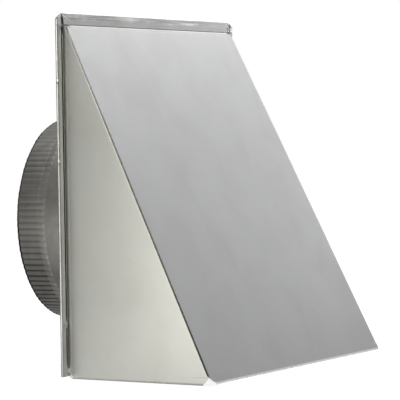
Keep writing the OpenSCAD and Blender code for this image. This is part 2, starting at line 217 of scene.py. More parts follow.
def root_row(z):
    """The root bend and the flange behind the plate's lip."""
    mid_x, mid_y = side_x(FLANGE_Y - ROOT_R) + ROOT_R, FLANGE_Y - ROOT_R
    row = [(mid_x - ROOT_R * math.cos(a), mid_y + ROOT_R * math.sin(a), z, 0.6)
           for a in steps(0, math.pi / 2, 4)[1:]]
    return row + [(178.0, FLANGE_Y, z, 0.0), (182.4, FLANGE_Y, z, 0.0)]


def both_ways(half):
    """A row of points from the middle outwards, joined to its mirror image."""
    left = [(-p[0],) + tuple(p[1:]) if p is not None else None for p in reversed(half[1:])]
    return left + list(half)


def one_side(rows, sign):
    """Rows of the right-hand side as they are, or mirrored and turned for the left."""
    if sign > 0:
        return rows
    return [[None if p is None else (-p[0],) + tuple(p[1:]) for p in reversed(row)]
            for row in rows]


print("hood outline has", 2 * (len(FRONT_T) + CORNER_STEPS + len(SIDE_T) + 5) - 1, "points")

# %% [markdown]
# The rows are stacked from the tip of the V notch up to the shoulder. The part below the tip
# is three separate strips, front and two sides, because the notch cuts the sheet apart there.
# At the right-hand corner the photograph shows the front going on to the corner, so there the
# front strip keeps its width and only the side is cut back.
# Each strip turns round the hem with a half circle and ends at the top of the hem's leg.

# %% Hood grids
hem_r = (2 * HOOD_T + HEM_GAP) / 2
hem_top = BASE_Z + HEM_H
crown_z = SHOULDER_Z - SHOULDER_R
relief_z = SHOULDER_Z - RELIEF_H
tip_z = BASE_Z + NOTCH_H
half_corner = CORNER_STEPS // 2


def notch_limits(z, inset):
    """How far the front reaches sideways and the side reaches forwards beside the notch."""
    open_ = 1 - min(max((z - BASE_Z) / NOTCH_H, 0), 1)
    if inset > hem_r:
        open_ = 1 + 0.25 * (z - BASE_Z) / HEM_H
    edge = front_y(z, 0)
    return side_x(edge) - 0.3 - NOTCH_FRONT * open_, edge + 0.3 + NOTCH_SIDE * open_


def hem_levels():
    """Height and inset of each row from the hem's leg down round the fold and up to the tip."""
    leg = [(z, 2 * hem_r) for z in (hem_top, hem_top - 4, BASE_Z + hem_r + 0.01)]
    fold = [(BASE_Z + hem_r - hem_r * math.sin(a), hem_r + hem_r * math.cos(a))
            for a in steps(0, math.pi, 8)[1:]]
    face = [(BASE_Z + dz, 0.0) for dz in (2.6, 3.0, 4.4, 6.2)]
    return leg + fold + face


levels = [tip_z, tip_z + 1.5, tip_z + 4] + steps(tip_z + 10, relief_z - 4, 30) + [relief_z]
full_rows = []
for z in levels + [relief_z + 2.5, crown_z]:
    half = front_row(z, 0) + corner_row(z, 0) + side_row(z, 0)
    half += root_row(z) if z <= relief_z else [None] * len(root_row(z))
    full_rows.append(both_ways(half))

FOOT_Y, RIGHT_REACH = -164.14, 191.0
front_strip, side_strip = [], []
for z, inset in hem_levels():
    x_end, y_end = notch_limits(z, inset)
    count = len(FRONT_T) + half_corner - 1
    fold = 1.0 if z < BASE_Z + 2.5 else 0.0
    folded = min(max((tip_z - z) / NOTCH_H, 0), 1)
    right_end = min(x_end + NOTCH_FRONT * folded, RIGHT_REACH) - 2.0 * folded ** 3
    front_strip.append([(min(x_end, right_end) * i / count if i < 0 else right_end * i / count,
                         max(front_y(z, inset), FOOT_Y), z, fold)
                        for i in range(-count, count + 1)])
    chamfer = max(0.0, REAR_CUT - (z - BASE_Z)) if inset <= hem_r else REAR_CUT
    rear = REAR_Y - chamfer
    count = len(SIDE_T) + half_corner - 1
    ys = steps(y_end, rear, count)
    row = [(side_x(y, inset), y, z, fold) for y in ys]
    row += root_row(z) if z >= BASE_Z + REAR_CUT - 0.01 else [None] * len(root_row(z))
    side_strip.append(row)
tip_half = front_row(tip_z, 0) + corner_row(tip_z, 0) + side_row(tip_z, 0) + root_row(tip_z)
split = len(FRONT_T) + half_corner
front_strip.append(both_ways(tip_half[:split]))
side_strip.append(tip_half[split - 1:])

# %% [markdown]
# Above the slanted front, the sheet rolls over a small shoulder and goes back and up behind
# the plate's top lip. Only the middle of the front does that: the two upper corners are
# relieved, which leaves the short dark gaps that show at the ends of the top lip.

# %% Hood top and the hood itself
keep = [i for i, t in enumerate(FRONT_T) if t <= 166 / 172.1 + 1e-6]
top_strip = []
shoulder_y = front_y(crown_z, SHOULDER_R)
for a in steps(-FRONT_TILT, -math.pi / 2, 6):
    top_strip.append([(front_row(crown_z, 0)[i][0], shoulder_y - SHOULDER_R * math.cos(a),
                       crown_z - SHOULDER_R * math.sin(a), 0.5) for i in keep])
top_strip[0] = [front_row(crown_z, 0)[i] for i in keep]
for y, z in ((FLANGE_Y - 0.4, SHOULDER_Z), (FLANGE_Y, SHOULDER_Z + 0.4), (FLANGE_Y, 193.0),
             (FLANGE_Y, 195.5)):
    top_strip.append([(p[0], y, z, 0.0) for p in top_strip[0]])
top_strip = [both_ways(row) for row in top_strip]
ear_strip = []
for z in (crown_z, crown_z + 1.1, SHOULDER_Z - HOOD_T):
    row = front_row(z, 0)[keep[-1]:] + corner_row(z, 0) + side_row(z, 0)
    ear_strip.append(row)

hood_skin = sheet_piece(
    "hood_skin",
    [full_rows, front_strip, top_strip]
    + [one_side(rows, s) for rows in (side_strip, ear_strip) for s in (1, -1)],
    HOOD_T)
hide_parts("hood")

# %% [markdown]
# The wall plate is one sheet too. Its two sides fold forwards into narrow channels that grip
# the hood's flanges, and its top folds over as a hem. The grid of the plate runs from the edge
# of the right lip, round the fold, across the back and round to the left lip, row by row
# upwards. The knocks that the photograph shows on the left lip are small moves of the grid's
# own points, so they catch light like real dents: a stake that pinches the flange, the pinched
# foot of the lip, and two nicks on the outer edge.

# %% Wall plate
FOLD_R = -LIP_Y / 2
FOLD_X = PLATE_W / 2 - FOLD_R
CUT_X = PLATE_W / 2 - CUT_W
HEM_R = 0.9
HEM_TOP = TOP_Z - HEM_R
STAKE_Z, PINCH_Z, NICKS_Z = -91.5, -124.0, (136.0, 60.0)
LIP_END = PLATE_W / 2 - LIP_W
BACK_X = [CUT_X * t for t in steps(0, 1, 40)]


def bump(value, centre, width):
    """A smooth rise to 1 at centre that fades out over width."""
    return math.exp(-((value - centre) / width) ** 2)


def knocked(x, y, z):
    """A point of the plate after the knocks on the left lip."""
    if x > -175 or y > -0.4:
        return x, y, z
    inner = min(1, max(0, (x + FOLD_X) / (FOLD_X - LIP_END)))
    outer = 1 - min(1, abs(x + FOLD_X + 1.2) / 2.4)
    stake = bump(z, STAKE_Z, 3.4) * inner
    pinch = min(1, max(0, (PINCH_Z - z) / 12)) ** 2 * inner
    x += 2.2 * stake + 2.6 * pinch + sum(0.5 * bump(z, n, 1.3) * outer for n in NICKS_Z)
    y += 0.6 * bump(z, STAKE_Z + 1.5, 1.5) * inner - 0.9 * bump(z, STAKE_Z - 3, 1.6) * inner
    y += 0.45 * pinch + 0.07 * inner * math.sin(z * 0.21) * math.sin(z * 0.057 + 1)
    return x, y, z


def plate_section():
    """Half of the plate's section, from the middle of the back to the edge of the lip."""
    fold = [(FOLD_X + FOLD_R * math.sin(a), -FOLD_R + FOLD_R * math.cos(a))
            for a in steps(0, math.pi, 8)]
    lip = [(FOLD_X + (LIP_END - FOLD_X) * t, LIP_Y) for t in (0.2, 0.4, 0.6, 0.8, 1.0)]
    return [(x, 0.0) for x in BACK_X] + [(178.0, 0.0)] + fold + lip


def top_of_plate(x):
    """Height of the plate's upper edge: the hem's fold, or the cut across the corner."""
    return min(HEM_TOP, TOP_Z - CUT_H * (abs(x) - CUT_X) / CUT_W)


half = plate_section()
section = list(reversed(half)) + [(-x, y) for x, y in half[1:]]
heights = steps(PLATE_LOW, LIP_LOW, 110)
for centre in (STAKE_Z, *NICKS_Z):
    heights += steps(centre - 5, centre + 5, 12)
heights = sorted({round(z, 2) for z in heights if PLATE_LOW <= z <= LIP_LOW})
plate_rows = []
for z in heights:
    v = (z - PLATE_LOW) / CAP_H
    plate_rows.append([(*knocked(s * x, y - (0.1 + bow(0.5 + s * x / PLATE_W, v, 0.1)
                                             if y == 0 and abs(x) < CUT_X else 0), z),
                        1.0 if abs(x) > FOLD_X else 0.0)
                       for x, y, s in [(p[0], p[1], 1) for p in section]])
for t in (0.35, 0.7, 1.0):
    plate_rows.append([(x, y, LIP_LOW + t * (top_of_plate(x) - LIP_LOW),
                        1.0 if abs(x) > FOLD_X else 0.0) for x, y in section])

lip_rows = [(LIP_Y, LIP_LOW), (LIP_Y, LIP_LOW + 2), (LIP_Y, LIP_LOW + 4),
            (LIP_Y, TOP_Z - CREASE_H - 0.4), (LIP_Y + 0.06, TOP_Z - CREASE_H + 0.3),
            (LIP_Y + 0.5, 198.2), (-2 * HEM_R, HEM_TOP)]
lip_rows += [(-HEM_R - HEM_R * math.cos(a), HEM_TOP + HEM_R * math.sin(a))
             for a in steps(0, math.pi, 8)[1:]]
LEFT_MITRE, RIGHT_TUCK = 0.2, 3.5
top_lip = []
for number, (y, z) in enumerate(lip_rows):
    drop = TOP_Z - z if y < -HEM_R else 0
    row = []
    for b in [-b for b in reversed(BACK_X[1:])] + BACK_X:
        x = b * (1 + (min(RIGHT_TUCK, 1.7 * drop) if b > 0 else -LEFT_MITRE * drop) / CUT_X)
        wave = 0.24 * (1 + math.sin(x * 0.11 + 0.8) * math.sin(x * 0.037 + 0.5))
        sway = wave * (0.2, 0.3, 0.6, 1, 1, 0.5, 0)[number] if number < 7 else 0
        row.append((x, y + sway, z, 0.7 if number > 5 or number in (3, 4) else 0.0))
    top_lip.append(row)


def round_cutter(holes):
    """Cylinders along Y that cut the plate's round holes: x, z and radius of each."""
    bm = bmesh.new()
    for x, z, r in holes:
        place = Matrix.Translation(Vector((x, 0, z)) * MM) @ Matrix.Rotation(math.pi / 2, 4, "X")
        bmesh.ops.create_cone(bm, cap_ends=True, segments=192 if r > 50 else 32,
                              radius1=r * MM, radius2=r * MM, depth=10 * MM, matrix=place)
    mesh = bpy.data.meshes.new("cutter")
    bm.to_mesh(mesh)
    bm.free()
    cutter = bpy.data.objects.new("cutter", mesh)
    bpy.context.scene.collection.objects.link(cutter)
    return cutter


RIVET_X, RIVET_Z, RIVET_R = 98.1, (126.2, 135.8), 1.6
PLATE_HOLE_R = COLLAR_R + BEAD_R + 0.4
holes = round_cutter([(0, 0, PLATE_HOLE_R)] + [(s * RIVET_X, z, RIVET_R)
                                               for s in (-1, 1) for z in RIVET_Z])
plate_skin = sheet_piece("plate_skin", [plate_rows, top_lip], PLATE_T, cutters=[holes])
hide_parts("wall_plate")

# %% [markdown]
# The duct collar is a strip of sheet rolled into a ring. A flange is turned out at its front,
# a bead is rolled in behind the plate, and its rear end is crimped so that the next duct slips
# over it. A crimping tool pinches the rim into narrow valleys between broad rounded crests, and
# it never sets two alike, so every flute here has its own depth and a slight shift. The flutes
# start in small dimples, with a pressed line round the collar where the tool's jaws end.

# %% Duct collar
PER_FLUTE = (1.0, 0.3, 0.0, 0.0, 0.0, 0.26)
CRIMP_Y = COLLAR_LEN - CRIMP_LEN
RUN_IN = 8
BEAD_Y, BEAD_HALF = 0.4 + BEAD_R, BEAD_R + 0.35


def hashed(number, seed):
    """A repeatable value from 0 to 1 for a counted thing."""
    return math.modf(abs(math.sin(number * 12.9898 + seed * 78.233) * 43758.5453))[0]


def collar_profile():
    """Radius and depth of each ring, from the flange's rim to the duct's end."""
    rings = [(COLLAR_R + FLANGE_W, -PLATE_T), (106, -PLATE_T)]
    rings += [(COLLAR_R + 0.8 - 0.8 * math.sin(a), -0.8 * math.cos(a))
              for a in steps(0, math.pi / 2, 4)]
    for y in steps(BEAD_Y - BEAD_HALF, BEAD_Y + BEAD_HALF, 10)[1:]:
        lift = 0.5 + 0.5 * math.cos(math.pi * (y - BEAD_Y) / BEAD_HALF)
        rings.append((COLLAR_R + BEAD_R * lift, y))
    rings += [(COLLAR_R, y) for y in (7, 14, 24, 34, 44, 54, 61)]
    for y in (63, 64, 64.8, 65.6, 66.6, 68, 69.5, 70.8, 71.4, 72, 72.6, 73.4, 76, 80, 85, 90, 93.5,
              95.4, 96):
        run = min(1, max(0, (y - CRIMP_Y) / RUN_IN))
        groove = 0.3 * bump(y, CRIMP_Y + RUN_IN, 0.7)
        rings.append((COLLAR_R - CRIMP_DROP * run * run * (3 - 2 * run) - groove, y))
    return rings


columns = FLUTES * len(PER_FLUTE)
collar_rows = []
for r, y in collar_profile():
    run = min(1, max(0, (y - CRIMP_Y) / RUN_IN))
    row = []
    for i in range(columns):
        flute, part = divmod(i, len(PER_FLUTE))
        angle = 2 * math.pi * (i + 0.5 * (hashed(flute, 3) - 0.5) * run) / columns
        press = PER_FLUTE[part] * (0.52 + 0.36 * hashed(flute + (part > 3), 1))
        start = 0.9 * bump(y, CRIMP_Y + 1.2, 1.0) if part in (0, 1) else 0
        depth = FLUTE_DEPTH * press * min(1, run * 1.35) + 0.3 * start
        oval = 0.35 * (max(y, 0) / COLLAR_LEN) * math.cos(2 * angle + 0.5)
        seam = 0.4 if -1.66 < angle - 2 * math.pi * (angle > math.pi) < -1.57 else 0
        seam *= 1 if y > 6 else 0
        radius = r - depth + min(0, oval) + seam * (1 - run)
        depth_y = y - (0.5 * hashed(flute // 3, 7) if y > 95 else 0)
        # Painted highlight on the crests where each flute starts; the valleys get painted shade
        # through the same layer, and the rim is darker.
        painted_flute_highlight = 1.4 * bump(y, CRIMP_Y + 0.6, 0.9) * (part in (2, 3, 4)) * hashed(flute, 11)
        rim = -6.0 if y > 95 else 0.0
        row.append((radius * math.cos(angle), depth_y, radius * math.sin(angle),
                    painted_flute_highlight - 0.9 * PER_FLUTE[part] * run + rim))
    collar_rows.append(row + [row[0]])
collar_skin = sheet_piece("collar_skin", [collar_rows], COLLAR_T, edge=0.1)
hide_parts("duct_collar")

# %% [markdown]
# The damper closes on a ring of closed-cell foam tape. Foam that has been cut and stuck down
# has rounded, slightly uneven edges, so the ring is a rounded section swept round the collar's
# flange with a small wander, rather than a plain tube.

# %% Foam ring
SEAL_OUT, SEAL_IN, SEAL_BACK, SEAL_FRONT = 109.6, 102.6, -1.4, -5.4
around = []
for r, y in ((SEAL_IN, SEAL_BACK), (SEAL_OUT, SEAL_BACK), (SEAL_OUT, SEAL_FRONT),
             (SEAL_IN, SEAL_FRONT)):
    centre_r = r + (0.8 if r == SEAL_IN else -0.8)
    centre_y = y + (0.8 if y == SEAL_FRONT else -0.8)
    first = {(SEAL_IN, SEAL_BACK): 90, (SEAL_OUT, SEAL_BACK): 0, (SEAL_OUT, SEAL_FRONT): -90,
             (SEAL_IN, SEAL_FRONT): -180}[(r, y)]
    around += [(centre_r + 0.8 * math.cos(math.radians(first + a)),
                centre_y + 0.8 * math.sin(math.radians(first + a))) for a in (90, 60, 30, 0)]
foam_bm = bmesh.new()
loops = []
for i in range(240):
    angle = 2 * math.pi * i / 240
    loop = []
    for k, (r, y) in enumerate(around):
        shrink = 0.12 * (1 + math.sin(angle * 9 + k) * math.sin(angle * 23 + 2 * k))
        r += shrink if r < 106 else -shrink
        y += 0.5 * shrink if y < -3.4 else 0
        loop.append(foam_bm.verts.new(Vector((r * math.cos(angle), y, r * math.sin(angle))) * MM))
    loops.append(loop)
for a, b in zip(loops, loops[1:] + loops[:1]):
    for k in range(len(around)):
        n = (k + 1) % len(around)
        foam_bm.faces.new((a[k], a[n], b[n], b[k]))
bmesh.ops.recalc_face_normals(foam_bm, faces=foam_bm.faces)
foam_ring = finish_piece("foam_ring", foam_bm, "housing", edge=0)
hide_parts("flap_seal")

# %% [markdown]
# The bird screen is welded wire cloth. Resistance welding melts the two wires together where
# they cross and leaves a small flattened nugget there. The wires themselves are the solid
# model's, so only the nuggets are added, all as one piece.

# %% Weld nuggets of the bird screen
PITCH, WIRE_R, ROW_Z, COLUMN_Z, FIRST_Y = 12.7, 0.5, -134.3, -133.28, -2.0
weld_bm = bmesh.new()
for i in range(13):
    y = FIRST_Y - i * PITCH
    for k in range(-13, 14):
        if abs(k * PITCH) > side_x(y, HOOD_T) - 1:
            continue
        size = 0.62 + 0.12 * hashed(i * 31 + k, 5)
        place = (Matrix.Translation(Vector((k * PITCH, y, (ROW_Z + COLUMN_Z) / 2)) * MM)
                 @ Matrix.Diagonal(Vector((size, size, 0.5, 1 / MM)) * MM))
        bmesh.ops.create_uvsphere(weld_bm, u_segments=10, v_segments=6, radius=1, matrix=place)
screen_welds = finish_piece("screen_welds", weld_bm, "housing", edge=0)

# %% [markdown]
# Materials. In Cycles a material is a graph of nodes, and long graphs are hard to read as
# links. Here a number that varies over the surface is wrapped in a small class, so the maths
# can be written as a formula, and each formula adds its Math nodes by itself.

# %% Shader formulas
class Varying:
    """A number that changes over a surface, wrapped so that formulas can be written with it."""

    def __init__(self, finish, socket):
        self.finish, self.socket = finish, socket

    def maths(self, operation, *values):
        made = self.finish.node("ShaderNodeMath", {"operation": operation},
                                dict(enumerate(values)))
        return Varying(self.finish, made.outputs[0])

    def __add__(self, other):
        return self.maths("ADD", self, other)

    def __sub__(self, other):
        return self.maths("SUBTRACT", self, other)

    def __rsub__(self, other):
        return self.maths("SUBTRACT", other, self)

    def __mul__(self, other):
        return self.maths("MULTIPLY", self, other)

    def __truediv__(self, other):
        return self.maths("DIVIDE", self, other)

    def __pow__(self, other):
        return self.maths("POWER", self, other)

    __radd__, __rmul__ = __add__, __mul__

    def held(self):
        """The value kept between 0 and 1."""
        return self.maths("MINIMUM", self.maths("MAXIMUM", self, 0.0), 1.0)

    def over(self, low, high):
        """0 below low, 1 above high and a straight rise between."""
        return ((self - low) / (high - low)).held()


class Finish:
    """A material on one Principled shader, or the world's background."""

    def __init__(self, name, fixed=None, world=False):
        self.owner = bpy.data.worlds.new(name) if world else bpy.data.materials.new(name)
        self.owner.use_nodes = True
        self.tree = self.owner.node_tree
        self.tree.nodes.clear()
        kind = "ShaderNodeBackground" if world else "ShaderNodeBsdfPrincipled"
        self.shader = self.node(kind, {}, fixed or {})
        out = "ShaderNodeOutputWorld" if world else "ShaderNodeOutputMaterial"
        self.node(out, {}, {"Surface": self.shader.outputs[0]})

    def node(self, kind, settings=None, sockets=None):
        """Adds a node: its settings first, then the values or links of its sockets."""
        made = self.tree.nodes.new(kind)
        for name, value in (settings or {}).items():
            if name == "stops":
                ramp = made.color_ramp
                while len(ramp.elements) < len(value):
                    ramp.elements.new(0.5)
                for element, (place, colour) in zip(ramp.elements, value):
                    element.position, element.color = place, (*colour, 1)
            else:
                setattr(made, name, value)
        for name, value in (sockets or {}).items():
            self.feed(made.inputs[name], value)
        return made

    def feed(self, socket, value):
        """Gives a socket a plain value or a link."""
        value = value.socket if isinstance(value, Varying) else value
        if isinstance(value, bpy.types.NodeSocket):
            self.tree.links.new(value, socket)
        elif socket.type == "RGBA" and len(value) == 3:
            socket.default_value = (*value, 1)
        else:
            socket.default_value = value

    def drive(self, **varying):
        """Feeds the shader's sockets; an underscore stands for a space."""
        for name, value in varying.items():
            self.feed(self.shader.inputs[name.replace("_", " ")], value)

    def place(self, stretch=(1, 1, 1)):
        """The surface's own place in millimetres, stretched along the axes."""
        coords = self.node("ShaderNodeTexCoord").outputs["Object"]
        size = tuple(1000 * s for s in stretch)
        return self.node("ShaderNodeVectorMath", {"operation": "MULTIPLY"},
                         {0: coords, 1: size}).outputs[0]

    def split(self, vector):
        """The three numbers of a vector."""
        outs = self.node("ShaderNodeSeparateXYZ", {}, {0: vector}).outputs
        return [Varying(self, o) for o in outs]

    def noise(self, where, scale, detail=3.0, rough=0.5, distortion=0.0):
        """A cloudy number about 0.5."""
        made = self.node("ShaderNodeTexNoise", {},
                         {"Vector": where, "Scale": scale, "Detail": detail, "Roughness": rough,
                          "Distortion": distortion})
        return Varying(self, made.outputs[0])

    def spots(self, where, scale, randomness=1.0):
        """Distance to scattered points, with a random number for each point."""
        made = self.node("ShaderNodeTexVoronoi", {"feature": "F1"},
                         {"Vector": where, "Scale": scale, "Randomness": randomness})
        shade = self.split(made.outputs["Color"])[0]
        return Varying(self, made.outputs["Distance"]), shade

    def layer(self, name):
        """A number painted on the mesh's points."""
        made = self.node("ShaderNodeAttribute", {"attribute_name": name})
        return Varying(self, made.outputs["Fac"])

    def blend(self, share, low, high):
        """One colour changing into another."""
        made = self.node("ShaderNodeMix", {"data_type": "RGBA"}, {0: share, 6: low, 7: high})
        return made.outputs[2]

    def shaded(self, colour, factor):
        """A colour made lighter or darker by a number."""
        return self.node("ShaderNodeVectorMath", {"operation": "SCALE"},
                         {0: colour, "Scale": factor}).outputs[0]

    def relief(self, height, distance, strength=1.0, below=None):
        """A bump from a height, distance in millimetres for a height of 1."""
        sockets = {"Height": height, "Distance": distance * MM, "Strength": strength}
        if below is not None:
            sockets["Normal"] = below
        return self.node("ShaderNodeBump", {}, sockets).outputs[0]


def dress(piece, finish):
    """Puts one finish on the whole of a piece."""
    piece.data.materials.clear()
    piece.data.materials.append(finish.owner)


print("shader helpers ready")

# %% [markdown]
# The hood and the plate are mill-finish aluminium sheet. Rolling leaves it with faint lines
# along the strip, and handling adds a fine mottle, cloudy smudges and a few dark specks. The
# bends are smoother where the folding machine's bar rubbed them, and they are painted lighter
# too, a painted highlight along each bend. All of that is small, so it is mostly variation of
# roughness, with only a little of the colour.

# %% Mill sheet
def mill_sheet(name, tint, smudge_tint, roughness=0.42, grain=(0.015, 1.0, 1.0), strength=1.0,
               streaks=0.5):
    sheet = Finish(name, {"Metallic": 1.0, "Specular IOR Level": 0.5})
    here = sheet.place()
    rolled = sheet.noise(sheet.place(grain), 1.6, 4.0, 0.6)
    mottle = sheet.noise(here, 0.32, 6.0, 0.68)
    grains = sheet.noise(here, 1.7, 2.0, 0.5)
    smudge = sheet.noise(here, 0.021, 4.0, 0.55, 0.6)
    wiped = sheet.noise(sheet.place((0.3, 1.0, 0.06)), 0.06, 3.0, 0.5)
    painted_bend_highlight = sheet.noise(here, 0.16, 3.0, 0.5)
    gap, chance = sheet.spots(here, 0.085)
    speck = (1 - gap.over(0.03, 0.055)) * chance.over(0.72, 0.74)
    bend = sheet.layer("bend")
    # The bend term below is a painted highlight along each bend.
    tone = (0.93 + 0.10 * mottle + 0.05 * streaks * rolled + 0.03 * (wiped - 0.5)
            + 0.05 * (grains - 0.5) + 0.2 * bend * painted_bend_highlight.over(0.4, 0.7) - 0.3 * speck)
    colour = sheet.blend(smudge.over(0.45, 0.7), tint, smudge_tint)
    rough = (roughness + 0.16 * (mottle - 0.5) + 0.06 * (smudge - 0.5) + 0.08 * (rolled - 0.5)
             + 0.06 * (grains - 0.5) - 0.17 * bend)
    height = 0.5 * mottle + 0.35 * streaks * rolled + 0.25 * grains - 0.5 * speck
    sheet.drive(Base_Color=sheet.shaded(colour, tone), Roughness=rough.held(),
                Normal=sheet.relief(height, 0.056 * strength))
    return sheet


hood_finish = mill_sheet("hood_mill_sheet", (0.50, 0.503, 0.505), (0.48, 0.48, 0.475))
plate_finish = mill_sheet("plate_mill_sheet", (0.50, 0.50, 0.495), (0.455, 0.452, 0.442), 0.40)
flap_finish = mill_sheet("flap_mill_sheet", (0.68, 0.685, 0.69), (0.62, 0.62, 0.61), 0.38,
                         grain=(1.0, 1.0, 0.015))
bracket_finish = mill_sheet("bracket_mill_sheet", (0.66, 0.66, 0.66), (0.58, 0.58, 0.57), 0.36)
dress(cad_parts["damper_flap"], flap_finish)
for side in ("left", "right"):
    dress(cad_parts["hinge_bracket_" + side], bracket_finish)

# %% [markdown]
# The narrow seam where the hood's flanges go into the plate's channels is painted almost black,
# painted shade in the gap beside each side panel, and a trail of small dark specks of dirt
# follows it on the panel. The mask for that is the distance in front of the plate, on the side
# panels only. The side panels are tinted a little yellowish, which is painted warm light. Along
# the front's lower edge a bright strip is a painted highlight, and the tone below adds more
# painted light and shade on the sides, the shoulder and the corner bends.

# %% Hood's finish, with painted shade in its seams, dirt specks and painted light on its panels
x, y, z = hood_finish.split(hood_finish.place())
aside = x.maths("ABSOLUTE", x)
lean = aside + 0.115 * y
side = lean.over(171.2, 172.0)
# Painted shade: the seam beside each side panel is painted almost black where shade falls in the gap.
seam = y.over(-2.5, -2.0) * aside.over(162.0, 165.0)
beside = (1 - y.maths("ABSOLUTE", y + 5.6).over(1.2, 3.4)) * (1 - y.over(-3.0, -2.6)) * side
front = (1 - y.over(-150.0, -140.0)) * (1 - side)
# Painted highlight: a bright strip along the front's lower edge.
strip = front * (1 - z.over(-142.3, -141.6))
# Painted shade along the foot of each side panel.
foot = side * (1 - z.over(-144.4, -143.8))
# Painted light: the side panels are lighter low down, and the tone below makes them lighter high up
# too.
low = side * (1 - z.over(-150.0, -70.0))
high = z.over(60.0, 150.0)
# Painted shade that dims the highlight on the shoulder's roll.
shoulder = z.over(186.6, 187.8) * (1 - side)
# The corner bend gets a painted dark line on its outer half that fades out high up, and a painted
# bright line on its inner half.
corner = hood_finish.layer("bend").over(0.3, 0.6) * (1 - y.over(-9.0, -7.0))
outward = lean.over(172.2, 172.7)
# Painted shade on the side panels just in front of the seam.
mouth = side * y.over(-4.0, -3.4)
# Painted highlight on a band of the side panels beside the seam.
brim = side * (1 - y.maths("ABSOLUTE", y + 5.2).over(1.0, 2.2))
gap, chance = hood_finish.spots(hood_finish.place((1, 1, 0.8)), 0.55)
trail = (1 - gap.over(0.16, 0.3)) * chance.over(0.5, 0.56) * beside
shader = hood_finish.shader
base = shader.inputs["Base Color"].links[0].from_socket
rough = Varying(hood_finish, shader.inputs["Roughness"].links[0].from_socket)
# Painted warm light: the side panels get a warm tint.
painted_warm_light = hood_finish.node("ShaderNodeVectorMath", {"operation": "MULTIPLY"},
                         {0: base, 1: (0.95, 0.95, 0.892)}).outputs[0]
# The base colour with the painted highlights and painted shade above, and the painted warm light on
# the sides.
colour_with_painted_light = hood_finish.shaded(hood_finish.blend(side, base, painted_warm_light),
                           1 + 0.85 * strip - 0.4 * foot - 0.42 * shoulder + 0.15 * low - 0.25 * mouth
                           + 0.4 * brim + 0.25 * side * z.over(90.0, 160.0)
                           + corner * outward * (0.35 * high - 0.36)
                           + 0.9 * corner * (1 - outward) * z.over(-140.0, -60.0))
hood_finish.drive(Base_Color=hood_finish.blend((0.93 * seam + 0.3 * trail).held(), colour_with_painted_light,
                                               (0.03, 0.028, 0.025)),
                  Roughness=(rough + 0.3 * seam + 0.2 * trail + 0.14 * corner * high).held())
dress(hood_skin, hood_finish)

# %% [markdown]
# The plate has one more mark. The collar's flange is spot-welded to its front, and the
# electrodes leave a ring of shallow round prints on its back, each with a dull blue-grey halo.
# The ring is worked out from the angle round the duct's axis, so the prints are evenly spaced.
# The top hem carries painted highlights in long streaks, with a dark line of painted shade where
# it is creased, and at its left end a forked line of painted shade beside a painted highlight.
# Its right end has painted bright spots on painted shade. The rear edge of the side folds, next
# to the wall, is painted dark as shade, the outer folds are painted darker low down and lighter
# high up, and the lip's face is a little darker.

# %% Plate's finish, with the prints of the spot welds
WELD_RING, WELD_COUNT = 106.6, 24
x, y, z = plate_finish.split(plate_finish.place())
radius = (x * x + z * z) ** 0.5
turn = z.maths("ARCTAN2", z, x) * (WELD_COUNT / (2 * math.pi)) + 0.5
along = (turn - turn.maths("FLOOR", turn) - 0.5) * (2 * math.pi * WELD_RING / WELD_COUNT)
away = ((radius - WELD_RING) ** 2 + along * along) ** 0.5
behind = y.over(-0.5, -0.3)
print_mark = (1 - away.over(1.9, 2.4)) * behind
halo = (1 - away.over(2.2, 5.0)) * behind
hem = z.over(189.0, 190.5) * (1 - y.over(-1.6, -1.2))
# Painted highlights in long streaks on the top hem, with a dark line of painted shade at its crease.
painted_streak_noise = plate_finish.noise(plate_finish.place((0.022, 0.5, 0.42)), 1.0, 3.0, 0.55, 0.3)
pressed = 1 - (z - 196.0).maths("ABSOLUTE", z - 196.0).over(0.25, 0.6)
long_shine = (1 - x.maths("ABSOLUTE", x + 50.0).over(10.0, 32.0))
long_shine = long_shine * (1 - z.maths("ABSOLUTE", z - 197.8).over(1.0, 2.6))
short_shine = (1 - x.maths("ABSOLUTE", x - 83.0).over(6.0, 22.0))
short_shine = short_shine * (1 - z.maths("ABSOLUTE", z - 196.3).over(0.4, 1.2))
streak = hem * (1.6 * (painted_streak_noise - 0.45) * z.over(194.5, 197.0) * (1 - 0.7 * x.over(100.0, 125.0))
                - 0.22 * pressed + 0.5 * long_shine + 0.55 * short_shine)
slant = (z - 201.0) + 0.42 * (x + 173.0)
# A forked line of painted shade and a painted highlight beside it, at the hem's left end.
left_end = hem * (1 - x.over(-158.0, -155.0))
fork = left_end * (1 - slant.maths("ABSOLUTE", slant).over(0.3, 0.6))
gleam = left_end * (1 - slant.maths("ABSOLUTE", slant + 1.0).over(0.3, 0.6))
# Painted bright spots on painted shade at the hem's right end.
painted_glint_noise = plate_finish.noise(plate_finish.place(), 0.55, 1.0, 0.4)
broken = x.over(170.5, 172.0) * z.over(189.0, 190.0) * (1 - y.over(-1.6, -1.2))
shader = plate_finish.shader
base = shader.inputs["Base Color"].links[0].from_socket
# Painted shade along the rear edge of the side folds, next to the wall.
painted_wall_shade = y.over(-1.3, -0.7) * x.maths("ABSOLUTE", x).over(182.5, 183.0) * (1 - behind)
